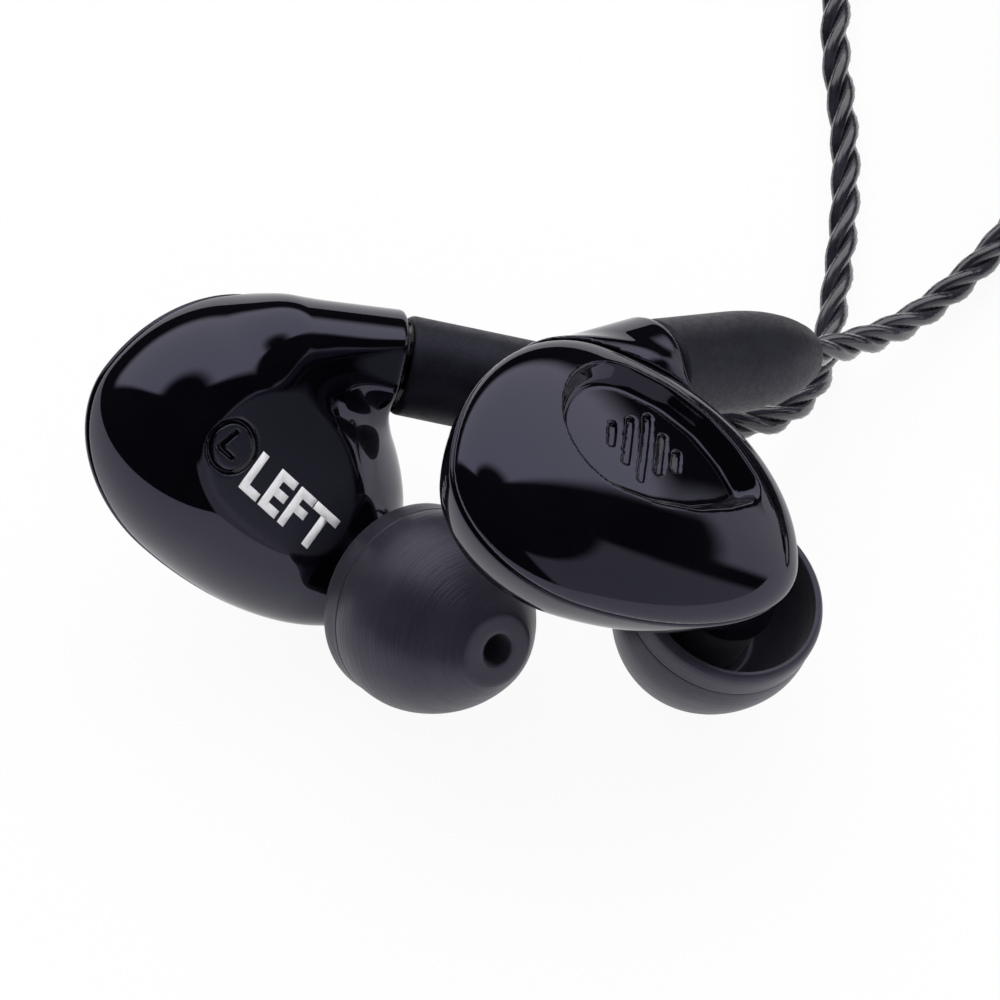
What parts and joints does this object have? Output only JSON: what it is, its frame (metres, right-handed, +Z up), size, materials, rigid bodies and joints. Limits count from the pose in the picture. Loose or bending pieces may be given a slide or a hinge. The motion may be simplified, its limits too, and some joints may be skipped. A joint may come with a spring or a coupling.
{
  "type": "in ear monitors",
  "caption": "Pair of in-ear monitors with egg-shaped housings, silicone tips, push-fit cable barrels and a twisted cable wound in a coil with a stereo plug.",
  "frame": {"origin": "on the table, under the middle of the two earpieces", "axes": "+X along the pair from the left earpiece to the right one, +Z up from the table"},
  "size_m": [0.1067, 0.0816, 0.0286],
  "materials": {
    "gloss_housing": "polished",
    "tip_silicone": "satin",
    "barrel_rubber": "matte, fine grain",
    "cable_jacket": "satin, twisted strands",
    "tie_strap": "woven",
    "nozzle_metal": "anodised",
    "screen_steel": "fine mesh",
    "driver_steel": "plain",
    "magnet": "nickel plated",
    "copper_wire": "enamelled",
    "film": "thin film",
    "board": "solder mask",
    "inner_plastic": "moulded",
    "gold_plate": "gold plated"
  },
  "bodies": {
    "root": {"left_cover": "gloss_housing", "left_inner_housing": "gloss_housing", "left_nozzle_tube": "nozzle_metal", "left_nozzle_screen": "screen_steel", "left_driver_bracket": "inner_plastic", "left_driver_basket": "driver_steel", "left_driver_yoke": "driver_steel", "left_driver_magnet": "magnet", "left_driver_top_plate": "driver_steel", "left_voice_coil": "copper_wire", "left_diaphragm": "film", "left_driver_grille": "driver_steel", "left_driver_board": "board", "left_socket_body": "gold_plate", "left_socket_insulator": "inner_plastic", "left_socket_contact": "gold_plate", "left_lead_wires": "copper_wire", "right_cover": "gloss_housing", "right_inner_housing": "gloss_housing", "right_nozzle_tube": "nozzle_metal", "right_nozzle_screen": "screen_steel", "right_driver_bracket": "inner_plastic", "right_driver_basket": "driver_steel", "right_driver_yoke": "driver_steel", "right_driver_magnet": "magnet", "right_driver_top_plate": "driver_steel", "right_voice_coil": "copper_wire", "right_diaphragm": "film", "right_driver_grille": "driver_steel", "right_driver_board": "board", "right_socket_body": "gold_plate", "right_socket_insulator": "inner_plastic", "right_socket_contact": "gold_plate", "right_lead_wires": "copper_wire", "left_leg": "cable_jacket", "right_leg": "cable_jacket", "coil_tie": "tie_strap", "cable_coil": "cable_jacket", "splitter": "barrel_rubber", "leg_tails": "cable_jacket", "jack_relief": "barrel_rubber", "jack_housing": "barrel_rubber", "jack_sleeve": "gold_plate", "jack_ring": "gold_plate", "jack_insulator": "inner_plastic", "jack_tip": "gold_plate", "lead_ends": "cable_jacket"},
    "left_tip": {"left_ear_tip": "tip_silicone"},
    "left_ring": {"left_snap_ring": "screen_steel"},
    "left_plug": {"left_plug_core": "gold_plate", "left_plug_insulator": "inner_plastic", "left_plug_pin": "gold_plate", "left_barrel": "barrel_rubber"},
    "right_tip": {"right_ear_tip": "tip_silicone"},
    "right_ring": {"right_snap_ring": "screen_steel"},
    "right_plug": {"right_plug_core": "gold_plate", "right_plug_insulator": "inner_plastic", "right_plug_pin": "gold_plate", "right_barrel": "barrel_rubber"},
    "slider": {"chin_slider": "barrel_rubber"}
  },
  "joints": [
    {"name": "left_tip_pull", "type": "slide", "parent": "root", "child": "left_tip", "axis": [0.5579, -0.6556, 0.5089], "range_m": [0, 0.007]},
    {"name": "left_plug_pull", "type": "slide", "parent": "root", "child": "left_ring", "axis": [0.9447, -0.0364, -0.3259], "range_m": [0, 0.003]},
    {"name": "left_plug_swivel", "type": "hinge", "parent": "left_ring", "child": "left_plug", "pos_m": [-0.00439, 0.0094, 0.01224], "axis": [0.9447, -0.0364, -0.3259], "continuous": true},
    {"name": "right_tip_pull", "type": "slide", "parent": "root", "child": "right_tip", "axis": [-0.3346, 0.0158, -0.9422], "range_m": [0, 0.007]},
    {"name": "right_plug_pull", "type": "slide", "parent": "root", "child": "right_ring", "axis": [0.6362, 0.4494, -0.6271], "range_m": [0, 0.003]},
    {"name": "right_plug_swivel", "type": "hinge", "parent": "right_ring", "child": "right_plug", "pos_m": [0.01139, 0.00494, 0.01871], "axis": [0.6362, 0.4494, -0.6271], "continuous": true},
    {"name": "chin_slide", "type": "slide", "parent": "root", "child": "slider", "axis": [0, 1, 0], "range_m": [-0.0007, 0.005]}
  ]
}
